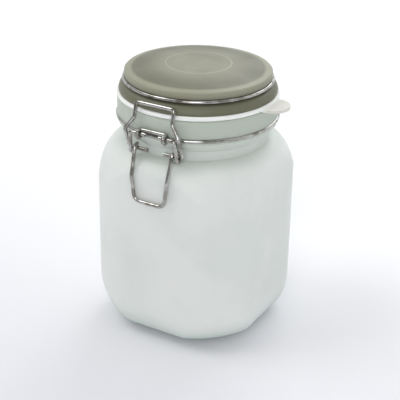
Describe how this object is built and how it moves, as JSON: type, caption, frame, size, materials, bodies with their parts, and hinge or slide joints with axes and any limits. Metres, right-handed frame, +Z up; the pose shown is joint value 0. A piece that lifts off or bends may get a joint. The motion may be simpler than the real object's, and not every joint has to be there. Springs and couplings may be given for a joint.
{
  "type": "bail clamp jar",
  "caption": "Rounded square frosted glass storage jar with a domed glass lid, flat gasket and a wire bail clamp that swings open.",
  "frame": {"origin": "centre of the base, on the jar's axis, at the height it stands on", "axes": "+Z up, -Y towards the clamp, +Y towards the rear hinge, +X towards the gasket's pull tab"},
  "size_m": [0.113, 0.1126, 0.1657],
  "materials": {
    "jar_glass": "frosted, pale green-white",
    "lid_glass": "smooth, grey-green",
    "gasket": "matt white silicone",
    "wire": "bright plated wire"
  },
  "bodies": {
    "jar": {"jar_glass": "jar_glass", "neck_ring": "wire"},
    "lid": {"lid_glass": "lid_glass", "gasket": "gasket", "lid_ring": "wire"},
    "lever": {"closing_lever": "wire"},
    "link": {"closing_link": "wire"}
  },
  "joints": [
    {"name": "lid_hinge", "type": "hinge", "parent": "jar", "child": "lid", "pos_m": [0, 0.053, 0.141], "axis": [-1, 0, 0], "range_deg": [0, 100]},
    {"name": "lever_pivot", "type": "hinge", "parent": "jar", "child": "lever", "pos_m": [0, -0.05145, 0.136], "axis": [-1, 0, 0], "range_deg": [0, 50]},
    {"name": "link_pivot", "type": "hinge", "parent": "lever", "child": "link", "pos_m": [0, -0.04745, 0.1249], "axis": [1, 0, 0], "range_deg": [0, 140]}
  ],
  "couplings": [
    {"joint": "lever_pivot", "follows": "lid_hinge", "ratio": 0.5},
    {"joint": "link_pivot", "follows": "lid_hinge", "ratio": 1.4}
  ]
}
